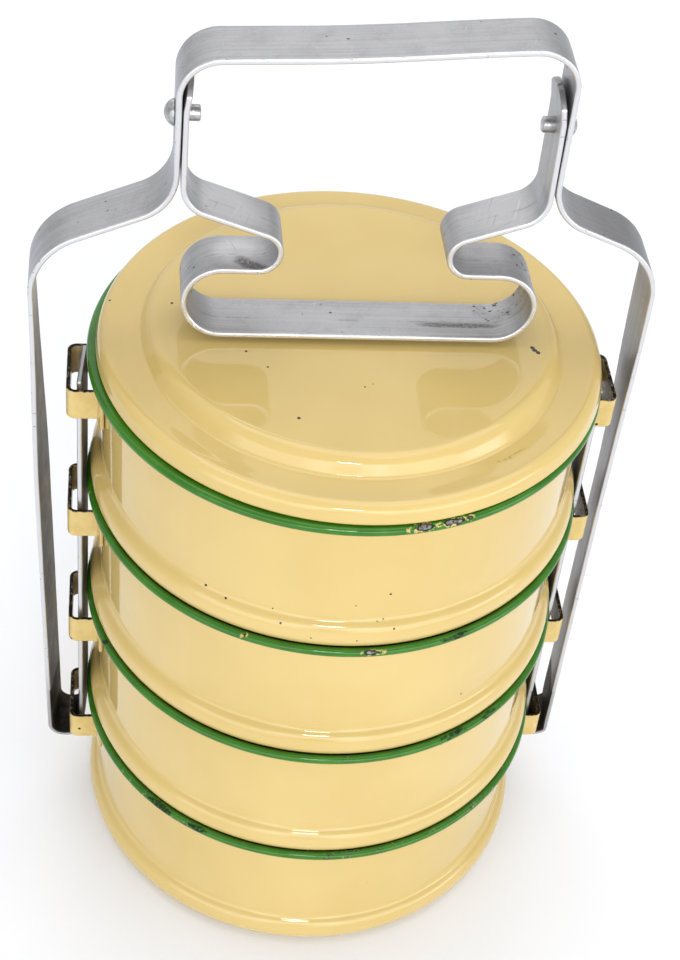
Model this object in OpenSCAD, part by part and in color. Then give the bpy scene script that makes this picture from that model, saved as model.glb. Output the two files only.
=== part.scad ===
// Four-tier enamelled tiffin carrier: stacked bowls with strap lugs,
// a loose lid, a bent strap carrier with a handle, and a swinging lid
// clamp held by two rivets.
// The part stands on z = 0 with the bowl axis on Z. X runs through the
// lugs, the rivets and the two sides of the carrier.

/* [Bowls] */
// Outer radius of a bowl wall just above its bulge
wall_r = 76.1; // [75.8:0.1:76.3]
// Outer radius of the bulge round the foot of a bowl
bulge_r = 79.4; // [79.2:0.1:79.5]
// Radius of the rounded lower corner of a bowl
corner_r = 6.8; // [6.6:0.1:7.2]
// Height at which the bulge starts to draw in
bulge_top = 7.5; // [7.4:0.1:8]
// Height of the rolled rim's centre above the bowl's base
bead_z = 52.45; // [52.2:0.05:52.45]
// Radius of the circle that the rolled rim follows
bead_c = 79.1; // [79.05:0.05:79.15]
// Radius of the rolled rim itself
bead_r = 1.45; // [1.3:0.05:1.45]
// Height from one bowl's base to the next one's
pitch = 51.4; // [51.4:0.1:52]
// Sheet thickness of bowls
sheet_t = 1.2; // [0.9:0.1:1.3]

/* [Lugs] */
// Distance of a lug's outer face from the bowl axis
lug_x = 86.6; // [86.4:0.1:87]
// Half the width of a lug over its two wings
lug_hw = 11.8; // [11.4:0.1:12.4]
// Height of a lug's lower edge above its bowl's base
lug_z = 33.65; // [30:0.5:35]
// Height of a lug's strip
lug_h = 11.1; // [9:0.1:13]
// Thickness of a lug's strip
lug_t = 1.3; // [1:0.1:1.4]
// Bend radius at a lug's outer corners, to the middle of the strip
lug_bend = 2.3; // [1.5:0.1:3]
// Length of the foot that is welded to the bowl on each side
lug_foot = 4.5; // [3:0.5:7]

/* [Lid] */
// Height of the flat panel above the rim's reference line
panel_z = 14.45; // [13.8:0.05:14.45]
// Radius of the flat panel
panel_r = 59.4; // [58:0.2:60]
// Height of the brim at the foot of the step
brim_z = 8.9; // [8.6:0.1:9.2]
// Slope of the step's face
step_a = 60; // [50:1:66]
// Height of the crest of the brim's shoulder
lip_z = 9.3; // [9.2:0.1:9.5]
// Outer radius of the brim's rounded shoulder
lip_r = 78.5; // [77.5:0.1:78.5]
// Radius of the brim's shoulder
lip_round = 3.6; // [3:0.1:4]
// Radius of the rolled hem
hem_r = 1.1; // [0.8:0.1:1.2]
// Sheet thickness of the lid
lid_t = 1.1; // [0.8:0.1:1.2]
// How far the loose lid lies to one side
lid_shift = 1.2; // [0:0.1:1.4]

/* [Carrier strap] */
// Width of the carrier and clamp strips
strip_w = 18.4; // [16:0.2:19]
// Thickness of the carrier and clamp strips
strip_t = 1.8; // [1.5:0.1:1.8]
// Height of the handle's middle above the rim's reference line
handle_z = 112.1; // [108:0.5:118]
// Sideways tilt of the handle, right end up
handle_tilt = 4.2; // [0:0.1:4.4]
// Half the distance between the two necks
neck_x = 55; // [54.8:0.1:56]
// Bend radius at the handle's corners
handle_bend = 12; // [10:0.5:13]
// Length of the straight neck below the handle's corner
neck_len = 28.6; // [27:0.2:30]
// Bend radius where the neck flares out into the shoulder
flare_bend = 16; // [13:0.5:17]
// Slope of the shoulder below horizontal
shoulder_slope = 23.5; // [20:0.5:26]
// Length of the straight shoulder on the left
shoulder_left = 20.6; // [18:0.2:22]
// Length of the straight shoulder on the right
shoulder_right = 13.5; // [12:0.2:20]
// Bend radius where the shoulder turns down into the leg
leg_bend = 22; // [18:0.5:24]
// Inward lean of the left leg
lean_left = 1.3; // [0.8:0.05:1.5]
// Inward lean of the right leg
lean_right = -0.65; // [-0.7:0.05:0.6]
// Distance of the inner post's middle from the bowl axis
post_x = 81.8; // [81.8:0.05:82]

/* [Lid clamp] */
// Height of the clamp's bar, middle of the strip, above the rim line
bar_z = 16.75; // [16.75:0.05:17.5]
// Straight length of the bar to the left of the middle
bar_left = 40.2; // [38:0.2:42]
// Straight length of the bar to the right of the middle
bar_right = 42.2; // [38:0.2:42.4]
// Bend radius of the lower curl
low_bend = 11.55; // [10:0.05:11.8]
// Length of the straight between the two curls
curl_len = 9.8; // [8:0.2:11]
// Bend radius of the upper curl
high_bend = 6.4; // [6:0.1:7]
// Rise of the straight above the upper curl
arm_slope = 20; // [15:1:24]
// Bend radius at the foot of the clamp's neck
arm_bend = 9.3; // [8:0.1:10]
// Gap between the clamp's neck and the carrier's neck
neck_gap = 0.3; // [0.3:0.05:0.6]
// Forward swing of the closed clamp, with its bar over the lid
clamp_tilt = 2.5; // [0:0.1:2.8]
// Inward lean of the tabs above the rivets
tab_lean = 8; // [7:1:26]
// Height of a tab's end above the rivet
tab_top = 13.6; // [12.4:0.2:13.6]
// Radius of the curve that ends a tab
tab_r = 12.6; // [10:0.2:16]

/* [Rivets] */
// Height of the rivets above the rim's reference line
pin_z = 87.2; // [86.2:0.2:87.4]
// Radius of a rivet's shank
pin_r = 2.35; // [2:0.05:2.6]
// Radial clearance of the clamp on the shank
pin_clear = 0.05; // [0.02:0.01:0.08]
// Radius of a rivet's domed head
head_r = 4; // [3.5:0.1:4.5]
// Height of a rivet's domed head
head_h = 3; // [2.2:0.1:3.2]
// How far the shank stands out inside the clamp
stub = 3.4; // [2:0.1:4]

/* [Hidden] */
$fn = 96;
step = 5;                        // angle between points along a bend
tiers = 4;
rim_ref = bead_z - 1.2;          // lower edge of a rim, above the base
top_z = (tiers - 1) * pitch + rim_ref;
pin_h = top_z + pin_z;
clamp_x = neck_x - strip_t - neck_gap;
cream = "#efdb9e";
silver = "#b9bbbe";

// ---- helpers --------------------------------------------------------

// points on an arc round c, from angle a to angle b
function arc(c, r, a, b) =
    let (n = max(1, ceil(abs(b - a) / step)))
    [for (i = [0:n]) let (t = a + (b - a) * i / n)
        [c[0] + r * cos(t), c[1] + r * sin(t)]];

// walk along a bent strip: [0, length] is a straight, [r, turn] a bend;
// each point carries its heading
function walk(cmds, x, z, h, i = 0) =
    i >= len(cmds) ? [] :
    cmds[i][0] == 0 ?
        let (nx = x + cmds[i][1] * cos(h), nz = z + cmds[i][1] * sin(h))
        concat([[nx, nz, h]], walk(cmds, nx, nz, h, i + 1)) :
        let (r = cmds[i][0], turn = cmds[i][1], s = sign(turn),
             n = max(1, ceil(abs(turn) / step)),
             cx = x - s * r * sin(h), cz = z + s * r * cos(h),
             pts = [for (k = [1:n]) let (g = h + turn * k / n)
                 [cx + s * r * sin(g), cz - s * r * cos(g), g]],
             e = pts[n - 1])
        concat(pts, walk(cmds, e[0], e[1], e[2], i + 1));

function back(p) = [for (i = [len(p) - 1:-1:0]) p[i]];
// the same path on the other side, walked the other way
function other(p) = [for (q = back(p)) [-q[0], q[1], -q[2]]];
// outline of a strip of thickness t along a path
function outline(p, t) = concat(
    [for (q = p) [q[0] - t / 2 * sin(q[2]), q[1] + t / 2 * cos(q[2])]],
    [for (q = back(p)) [q[0] + t / 2 * sin(q[2]), q[1] - t / 2 * cos(q[2])]]);

// a strip outline in X and Z, extruded to width w about Y = 0
module strip(p, t, w)
    translate([0, w / 2, 0]) rotate([90, 0, 0])
        linear_extrude(w) polygon(outline(p, t));

// ---- bowls ----------------------------------------------------------

out_bend = 5.2;                  // bend over the bulge
in_bend = 3.2;                   // bend in the crease above the bulge
draw_a = acos(1 - (bulge_r - wall_r) / (out_bend + in_bend));
c_low = [bulge_r - corner_r, corner_r];
c_out = [bulge_r - out_bend, bulge_top];
c_in = c_out + (out_bend + in_bend) * [cos(draw_a), sin(draw_a)];
mouth_r = wall_r + 0.4;

module bowl(k)
    translate([0, 0, k * pitch]) rotate_extrude() {
        polygon(concat(
            [[0, 0]],
            arc(c_low, corner_r, -90, 0),
            arc(c_out, out_bend, 0, draw_a),
            arc(c_in, in_bend, 180 + draw_a, 180),
            [[mouth_r, bead_z - 3.2], [mouth_r + 0.5, bead_z - 2],
             [bead_c - 0.5, bead_z - 0.55], [bead_c - 1.2, bead_z + 0.5],
             [mouth_r - sheet_t + 0.6, bead_z - 1.45],
             [mouth_r - sheet_t, bead_z - 2.85]],
            arc(c_in, in_bend + sheet_t, 180, 180 + draw_a),
            arc(c_out, out_bend - sheet_t, draw_a, 0),
            arc(c_low, corner_r - sheet_t, 0, -90),
            [[0, sheet_t]]));
        translate([bead_c, bead_z]) circle(bead_r);
    }

module bowl_1() color(cream) bowl(0);
module bowl_2() color(cream) bowl(1);
module bowl_3() color(cream) bowl(2);
module bowl_4() color(cream) bowl(3);

// ---- lugs -----------------------------------------------------------

// a strip bent out from the wall, round a slot, and back to the wall;
// its feet lie along the wall
foot_r = wall_r + 0.45 + lug_t / 2;
foot_bend = 1.6;
wing_y = lug_hw - lug_t / 2;
foot_x = sqrt(pow(foot_r + foot_bend, 2) - pow(wing_y + foot_bend, 2));
foot_a = atan2(wing_y + foot_bend, foot_x);
wing = lug_x - lug_t / 2 - lug_bend - foot_x;
lug_half = walk(
    [[0, wing_y - lug_bend], [lug_bend, 90], [0, wing],
     [foot_bend, foot_a - 90], [foot_r, lug_foot / foot_r * 180 / PI]],
    lug_x - lug_t / 2, 0, 90);
lug_path = concat([for (q = back(lug_half)) [q[0], -q[1], 180 - q[2]]],
                  lug_half);

module lug(k, side)
    translate([0, 0, k * pitch + lug_z]) mirror([side < 0 ? 1 : 0, 0, 0])
        linear_extrude(lug_h) polygon(outline(lug_path, lug_t));

module lug_1_left() color(cream) lug(0, -1);
module lug_1_right() color(cream) lug(0, 1);
module lug_2_left() color(cream) lug(1, -1);
module lug_2_right() color(cream) lug(1, 1);
module lug_3_left() color(cream) lug(2, -1);
module lug_3_right() color(cream) lug(2, 1);
module lug_4_left() color(cream) lug(3, -1);
module lug_4_right() color(cream) lug(3, 1);

// ---- lid ------------------------------------------------------------

crest = 5;                       // bend at the top of the step
foot = 1.5;                      // bend at the foot of the step
face = (panel_z - brim_z - (crest + foot) * (1 - cos(step_a))) / sin(step_a);
c_crest = [panel_r, panel_z - crest];
c_foot = [panel_r + (crest + foot) * sin(step_a) + face * cos(step_a),
          brim_z + foot];
c_lip = [lip_r - lip_round, lip_z - lip_round];
trough = c_lip[0] - 4;           // where the brim starts to rise to its lip
c_hem = [lip_r - 0.6, 4.3];

module lid() color(cream)
    translate([lid_shift, 0, top_z]) rotate_extrude() {
        polygon(concat(
            [[0, panel_z]],
            arc(c_crest, crest, 90, 90 - step_a),
            arc(c_foot, foot, 270 - step_a, 270),
            [[trough, brim_z]],
            arc(c_lip, lip_round, 96, 0),
            arc(c_hem, hem_r, 15, -195),
            arc(c_lip, lip_round - lid_t, 0, 96),
            [[trough, brim_z - lid_t]],
            arc(c_foot, foot + lid_t, 270, 270 - step_a),
            arc(c_crest, crest - lid_t, 90 - step_a, 90),
            [[0, panel_z - lid_t]]));
    }

// ---- carrier strap --------------------------------------------------

// from the middle of the handle, over the corner, down the neck, out
// over the shoulder, down the leg, round under the lowest lug and up
// through the lugs
shoulder_h = -shoulder_slope;
post_end = top_z - 5;
function upper(shoulder, lean, tilt) =
    let (grip = (neck_x - handle_bend * (1 + sin(tilt))) / cos(tilt),
         rise = grip * sin(tilt) + handle_bend * (1 - cos(tilt)))
    walk([[0, grip], [handle_bend, -90 - tilt], [0, neck_len + rise],
          [flare_bend, 90 - shoulder_slope], [0, shoulder],
          [leg_bend, -90 - lean - shoulder_h]],
         0, top_z + handle_z, tilt);
// the bend under the lug keeps the leg and the post parallel to within
// the lean, and its inner face carries the lug's lower edge
function side_path(shoulder, lean, tilt) =
    let (u = upper(shoulder, lean, tilt), e = u[len(u) - 1],
         lean_h = -90 - lean,
         // height of the leg's lower end and the bend's radius there
         z1 = lug_z + 3.2,
         x1 = e[0] + (e[1] - z1) * cos(lean_h) / -sin(lean_h),
         r = (x1 - post_x) / (1 - sin(lean_h)))
    concat(u, walk([[0, (e[1] - z1) / -sin(lean_h)], [r, -180 + lean]],
                   e[0], e[1], lean_h),
           [[post_x, post_end, 90]]);
carrier_path = concat(
    other(side_path(shoulder_left, lean_left, -handle_tilt)),
    side_path(shoulder_right, lean_right, handle_tilt));

module carrier_strap() color(silver)
    difference() {
        strip(carrier_path, strip_t, strip_w);
        for (s = [-1, 1])
            translate([s * neck_x, 0, pin_h]) rotate([0, 90, 0])
                cylinder(h = 8, r = pin_r + 0.02, center = true, $fn = 48);
    }

// ---- lid clamp ------------------------------------------------------

// from the middle of the bar, round the lower curl, back under the upper
// curl, out along the arm and up the neck to the rivet
tab_c = pin_h + 4;               // where a tab starts to lean
function clamp_side(bar) =
    let (arm_x = bar - curl_len - high_bend * sin(arm_slope),
         arm = (clamp_x - arm_bend * (1 - sin(arm_slope)) - arm_x)
               / cos(arm_slope),
         arm_z = top_z + bar_z + 2 * low_bend
                 + high_bend * (1 + cos(arm_slope))
                 + arm * sin(arm_slope) + arm_bend * cos(arm_slope))
    walk([[0, bar], [low_bend, 180], [0, curl_len],
          [high_bend, -180 + arm_slope], [0, arm],
          [arm_bend, 90 - arm_slope], [0, tab_c - arm_z]],
         0, top_z + bar_z, 0);
clamp_path = concat(other(clamp_side(bar_left)), clamp_side(bar_right));
tab_path = walk([[12, tab_lean], [0, strip_w / 2]], clamp_x, tab_c, 90);

module clamp_strap() color(silver)
    translate([0, 0, pin_h]) rotate([-clamp_tilt, 0, 0])
    translate([0, 0, -pin_h])
    difference() {
        union() {
            strip(clamp_path, strip_t, strip_w);
            for (s = [0, 1]) mirror([s, 0, 0])
                intersection() {
                    strip(concat([[clamp_x, tab_c - 0.5, 90],
                                  [clamp_x, tab_c, 90]], tab_path),
                          strip_t, strip_w);
                    translate([clamp_x, 0, pin_h + tab_top - tab_r])
                        rotate([0, 90, 0])
                            cylinder(h = 40, r = tab_r, center = true);
                }
        }
        for (s = [-1, 1])
            translate([s * clamp_x, 0, pin_h]) rotate([0, 90, 0])
                cylinder(h = 8, r = pin_r + pin_clear, center = true, $fn = 48);
    }

// ---- rivets ---------------------------------------------------------

// domed head outside the carrier, plain shank through both strips
head_x = neck_x + strip_t / 2 + 0.05;
shank = head_x - (clamp_x - strip_t / 2) + stub;
dome_r = (head_r * head_r + head_h * head_h) / (2 * head_h);

module rivet(side) color(silver)
    mirror([side < 0 ? 1 : 0, 0, 0])
        translate([head_x, 0, pin_h]) rotate([0, 90, 0]) rotate_extrude()
            polygon(concat(
                [[0, -shank], [pin_r - 0.5, -shank], [pin_r, -shank + 0.5],
                 [pin_r, 0], [head_r, 0]],
                arc([0, head_h - dome_r], dome_r,
                    asin((dome_r - head_h) / dome_r), 90)));

module rivet_left() rivet(-1);
module rivet_right() rivet(1);

bowl_1();
bowl_2();
bowl_3();
bowl_4();
lug_1_left();
lug_1_right();
lug_2_left();
lug_2_right();
lug_3_left();
lug_3_right();
lug_4_left();
lug_4_right();
lid();
carrier_strap();
clamp_strap();
rivet_left();
rivet_right();
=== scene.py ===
import math

import bmesh
import bpy
import numpy as np
from mathutils import Matrix, Vector


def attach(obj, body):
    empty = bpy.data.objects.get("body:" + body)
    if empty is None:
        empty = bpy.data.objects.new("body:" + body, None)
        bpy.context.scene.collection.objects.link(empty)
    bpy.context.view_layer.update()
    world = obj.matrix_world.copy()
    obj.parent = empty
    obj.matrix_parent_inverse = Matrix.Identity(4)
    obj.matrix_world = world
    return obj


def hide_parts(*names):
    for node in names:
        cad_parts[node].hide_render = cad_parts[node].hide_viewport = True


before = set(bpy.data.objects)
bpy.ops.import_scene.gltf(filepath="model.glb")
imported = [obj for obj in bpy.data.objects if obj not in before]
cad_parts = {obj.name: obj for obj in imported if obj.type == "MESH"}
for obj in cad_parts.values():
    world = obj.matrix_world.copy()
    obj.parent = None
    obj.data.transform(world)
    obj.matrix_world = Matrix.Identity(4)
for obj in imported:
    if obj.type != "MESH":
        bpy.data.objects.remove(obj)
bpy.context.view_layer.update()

MM = 0.001

# ---------------------------------------------------------------- sizes, mm
wall_r, bulge_r, corner_r, bulge_top = 76.1, 79.4, 6.8, 7.5
out_bend, in_bend = 5.2, 3.2
bead_z, bead_c, bead_r, pitch, sheet_t = 52.45, 79.1, 1.45, 51.4, 1.2
lug_x, lug_hw, lug_z, lug_h, lug_t = 86.6, 11.8, 33.65, 11.1, 1.3
lug_bend, lug_foot, foot_bend = 2.3, 4.5, 1.6
panel_z, panel_r, brim_z, lip_r, lip_round = 14.45, 59.4, 8.9, 78.5, 3.6
step_a, lip_z, hem_r, lid_t, lid_shift = 60.0, 9.3, 1.1, 1.1, 1.2
strip_w, strip_t = 18.4, 1.8
handle_z, neck_x, handle_bend, neck_len = 112.1, 55.0, 12.0, 28.6
handle_tilt, flare_bend, shoulder_slope = 4.2, 16.0, 23.5
shoulder_left, shoulder_right, leg_bend = 20.6, 13.5, 22.0
lean_left, lean_right, post_x = 1.3, -0.65, 81.8
bar_z, bar_left, bar_right, low_bend, curl_len = 16.75, 40.2, 42.2, 11.55, 9.8
high_bend, arm_slope, arm_bend, neck_gap, tab_lean = 6.4, 20.0, 9.3, 0.3, 8.0
clamp_tilt, tab_top, tab_r = 2.5, 13.6, 12.6
pin_z, pin_r, pin_clear, head_r, head_h, stub = 87.2, 2.35, 0.05, 4.0, 3.0, 3.4
rim_ref = bead_z - 1.2
top_z = 3 * pitch + rim_ref
pin_h = top_z + pin_z
clamp_x = neck_x - strip_t - neck_gap
tab_c = pin_h + 4
rad = math.radians


# ---------------------------------------------------------------- paths
def arc(c, r, a, b, step=4.0):
    n = max(1, math.ceil(abs(b - a) / step))
    return [(c[0] + r * math.cos(rad(a + (b - a) * i / n)),
             c[1] + r * math.sin(rad(a + (b - a) * i / n))) for i in range(n + 1)]


def walk(cmds, x, z, h, step=3.0, run=3.0):
    """Points with headings along a bent strip, finely spaced."""
    out = []
    for r, b in cmds:
        if r == 0:
            n = max(1, math.ceil(b / run))
            x0, z0 = x, z
            for k in range(1, n + 1):
                x = x0 + b * k / n * math.cos(rad(h))
                z = z0 + b * k / n * math.sin(rad(h))
                out.append((x, z, h))
        else:
            s = 1 if b > 0 else -1
            n = max(1, math.ceil(abs(b) / step))
            cx, cz = x - s * r * math.sin(rad(h)), z + s * r * math.cos(rad(h))
            for k in range(1, n + 1):
                g = h + b * k / n
                out.append((cx + s * r * math.sin(rad(g)), cz - s * r * math.cos(rad(g)), g))
            x, z, h = out[-1]
    return out


def other(p):
    return [(-x, z, -h) for x, z, h in reversed(p)]


def side_path(shoulder, lean, tilt):
    grip = (neck_x - handle_bend * (1 + math.sin(rad(tilt)))) / math.cos(rad(tilt))
    rise = grip * math.sin(rad(tilt)) + handle_bend * (1 - math.cos(rad(tilt)))
    u = walk([(0, grip), (handle_bend, -90 - tilt), (0, neck_len + rise),
              (flare_bend, 90 - shoulder_slope), (0, shoulder),
              (leg_bend, -90 - lean + shoulder_slope)], 0, top_z + handle_z, tilt)
    e = u[-1]
    lh, z1 = -90 - lean, lug_z + 3.2
    x1 = e[0] + (e[1] - z1) * math.cos(rad(lh)) / -math.sin(rad(lh))
    r = (x1 - post_x) / (1 - math.sin(rad(lh)))
    v = walk([(0, (e[1] - z1) / -math.sin(rad(lh))), (r, -180 + lean)], e[0], e[1], lh)
    return u + v + walk([(0, top_z - 5 - v[-1][1])], post_x, v[-1][1], 90)


def clamp_side(bar):
    arm_x = bar - curl_len - high_bend * math.sin(rad(arm_slope))
    arm = (clamp_x - arm_bend * (1 - math.sin(rad(arm_slope))) - arm_x) / math.cos(rad(arm_slope))
    arm_z = (top_z + bar_z + 2 * low_bend + high_bend * (1 + math.cos(rad(arm_slope)))
             + arm * math.sin(rad(arm_slope)) + arm_bend * math.cos(rad(arm_slope)))
    p = walk([(0, bar), (low_bend, 180), (0, curl_len), (high_bend, -180 + arm_slope),
              (0, arm), (arm_bend, 90 - arm_slope), (0, tab_c - arm_z)], 0, top_z + bar_z, 0)
    return p, walk([(12, tab_lean), (0, 7.98)], clamp_x, tab_c, 90, step=2.0, run=0.4)


# ---------------------------------------------------------------- mesh code
def make(name, verts, faces, attrs, body, nodes, mat, fix=True):
    me = bpy.data.meshes.new(name)
    me.from_pydata([tuple(v) for v in np.asarray(verts) * MM], [], faces)
    for key, vals in attrs.items():
        a = me.attributes.new(key, "FLOAT", "POINT")
        a.data.foreach_set("value", np.asarray(vals, dtype=np.float32))
    if fix:
        bm = bmesh.new()
        bm.from_mesh(me)
        bmesh.ops.recalc_face_normals(bm, faces=bm.faces)
        bm.to_mesh(me)
        bm.free()
    me.polygons.foreach_set("use_smooth", [True] * len(me.polygons))
    me.materials.append(mat)
    ob = bpy.data.objects.new(name, me)
    bpy.context.scene.collection.objects.link(ob)
    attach(ob, body)
    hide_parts(*nodes)
    return ob


def wobble(a, seed, amp):
    """Small smooth variation round the axis, never above zero."""
    v = sum(math.sin(m * a + seed * (1.7 + 0.6 * m)) / m for m in (2, 3, 5, 8, 13))
    return amp * (v - 2.0)


def lathe(profile, seg, dz=0.0, dx=0.0, seed=0.0, amp=0.0, extra=None):
    """Revolves a closed (r, z, tag...) profile; points at r = 0 become poles."""
    verts, faces, rows = [], [], []
    attrs = {k: [] for k in (extra or [])}
    for p in profile:
        r, z = p[0], p[1]
        row = []
        if r < 1e-6:
            row = [len(verts)] * seg
            verts.append((dx, 0.0, z + dz))
            for k in attrs:
                attrs[k].append(extra[k](p))
        else:
            for i in range(seg):
                a = 2 * math.pi * i / seg
                q = r + wobble(a, seed, amp) * min(1.0, r / 40.0)
                row.append(len(verts))
                verts.append((q * math.cos(a) + dx, q * math.sin(a), z + dz))
                for k in attrs:
                    attrs[k].append(extra[k](p))
        rows.append(row)
    for a, b in zip(rows[:-1], rows[1:]):
        for i in range(seg):
            j = (i + 1) % seg
            q = [a[i], a[j], b[j], b[i]]
            q = [v for n, v in enumerate(q) if v not in q[:n]]
            if len(q) > 2:
                faces.append(q)
    return verts, faces, attrs


def section(t, w, e, cols=7, m=4):
    """Rounded rectangle: (offset along the normal, offset along the width, side)."""
    pts = []
    bs = np.linspace(-(w / 2 - e), w / 2 - e, cols)
    for b in bs:
        pts.append((t / 2, b, 1.0))
    for k in range(1, m):
        g = math.pi / 2 * (1 - k / m)
        pts.append((t / 2 - e + e * math.sin(g), w / 2 - e + e * math.cos(g), 1.0 - k / m))
    pts.append((t / 2 - e, w / 2, 0.0))
    if t / 2 - e > 0.01:
        pts.append((-(t / 2 - e), w / 2, 0.0))
    for k in range(1, m):
        g = math.pi / 2 * k / m
        pts.append((-(t / 2 - e) - e * math.sin(g), w / 2 - e + e * math.cos(g), -k / m))
    for b in bs[::-1]:
        pts.append((-t / 2, b, -1.0))
    for k in range(1, m):
        g = math.pi / 2 * (1 - k / m)
        pts.append((-(t / 2 - e) - e * math.sin(g), -(w / 2 - e) - e * math.cos(g), -1.0 + k / m))
    pts.append((-(t / 2 - e), -w / 2, 0.0))
    if t / 2 - e > 0.01:
        pts.append((t / 2 - e, -w / 2, 0.0))
    for k in range(1, m):
        g = math.pi / 2 * k / m
        pts.append((t / 2 - e + e * math.sin(g), -(w / 2 - e) - e * math.cos(g), k / m))
    return pts


def ribbon(path, t, w, e, upright=None, widths=None, u0=0.0, wave=0.0, seed=0.0, turn=None, tilt=0.0):
    """Sweeps a rounded strip. In XZ the width lies along Y; upright=z0 sweeps in
    XY with the width along Z from z0. widths gives a width for each point, turn an
    angle about the vertical and a push along X, tilt a swing about the rivets."""
    pts = [list(p) for p in path]
    ws = list(widths) if widths else [w] * len(pts)
    # a short chamfered end at each end of the strip
    first, last = pts[0], pts[-1]
    c = min(e, 0.35)
    ends = []
    for q, s in ((first, 1.0), (last, -1.0)):
        ends.append((q[0] + s * c * math.cos(rad(q[2])), q[1] + s * c * math.sin(rad(q[2])), q[2]))
    body = [(first, 1 - 2 * c / t), (ends[0], 1.0)] + [(p, 1.0) for p in pts[1:-1]] + [(ends[1], 1.0), (last, 1 - 2 * c / t)]
    wid = [max(0.3, ws[0] - 2 * c), ws[0]] + ws[1:-1] + [ws[-1], max(0.3, ws[-1] - 2 * c)]
    cs = section(t, w, e)
    n = len(cs)
    verts, faces = [], []
    at = {"u": [], "v": [], "side": []}
    u = u0
    prev = None
    for (p, ts), wi in zip(body, wid):
        if prev is not None:
            u += math.hypot(p[0] - prev[0], p[1] - prev[1])
        prev = p
        nx, nz = -math.sin(rad(p[2])), math.cos(rad(p[2]))
        rho, push = turn(p) if turn else (0.0, 0.0)
        cr, sr = math.cos(rad(rho)), math.sin(rad(rho))
        for a, b, s in cs:
            bb = b * wi / w
            aa = a * ts
            if wave:
                # shallow hammered unevenness, pressed inwards only
                k = (math.sin(u * 0.11 + b * 0.21 + seed) + math.sin(u * 0.043 - b * 0.13 + 2.1 * seed)
                     + math.sin(u * 0.27 + 1.3 * seed)) / 3
                aa -= math.copysign(wave * (k + 1) / 2, a)
            if upright is None:
                ox = nx * aa
                q = (p[0] + ox * cr - bb * sr + push, ox * sr + bb * cr, p[1] + nz * aa - pin_h)
                ct, st = math.cos(rad(tilt)), math.sin(rad(tilt))
                verts.append((q[0], q[1] * ct + q[2] * st, pin_h + q[2] * ct - q[1] * st))
            else:
                verts.append((p[0] + nx * aa, p[1] + nz * aa, upright + w / 2 + bb))
            at["u"].append(u)
            at["v"].append(b * wi / w)
            at["side"].append(s)
    for i in range(len(body) - 1):
        for j in range(n):
            k = (j + 1) % n
            faces.append((i * n + j, i * n + k, (i + 1) * n + k, (i + 1) * n + j))
    faces.append(tuple(range(n)))
    faces.append(tuple(range((len(body) - 1) * n, len(body) * n)))
    return verts, faces, at


def drill(ob, x, r):
    """Cuts the rivet hole through a strip at (x, 0, pin_h), along X."""
    bm = bmesh.new()
    bmesh.ops.create_cone(bm, cap_ends=True, segments=48, radius1=r * MM, radius2=r * MM, depth=9 * MM,
                          matrix=Matrix.Translation((x * MM, 0, pin_h * MM)) @ Matrix.Rotation(math.pi / 2, 4, "Y"))
    cm = bpy.data.meshes.new("hole")
    bm.to_mesh(cm)
    bm.free()
    co = bpy.data.objects.new("hole", cm)
    bpy.context.scene.collection.objects.link(co)
    md = ob.modifiers.new("hole", "BOOLEAN")
    md.operation, md.solver, md.object = "DIFFERENCE", "EXACT", co
    bpy.context.view_layer.update()
    me = bpy.data.meshes.new_from_object(ob.evaluated_get(bpy.context.evaluated_depsgraph_get()))
    ob.modifiers.clear()
    old = ob.data
    ob.data = me
    me.name = old.name
    bpy.data.meshes.remove(old)
    bpy.data.objects.remove(co)
    bpy.data.meshes.remove(cm)
    me.polygons.foreach_set("use_smooth", [True] * len(me.polygons))


def weighted(ob):
    m = ob.modifiers.new("normals", "WEIGHTED_NORMAL")
    m.weight = 80
    m.keep_sharp = False


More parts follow.
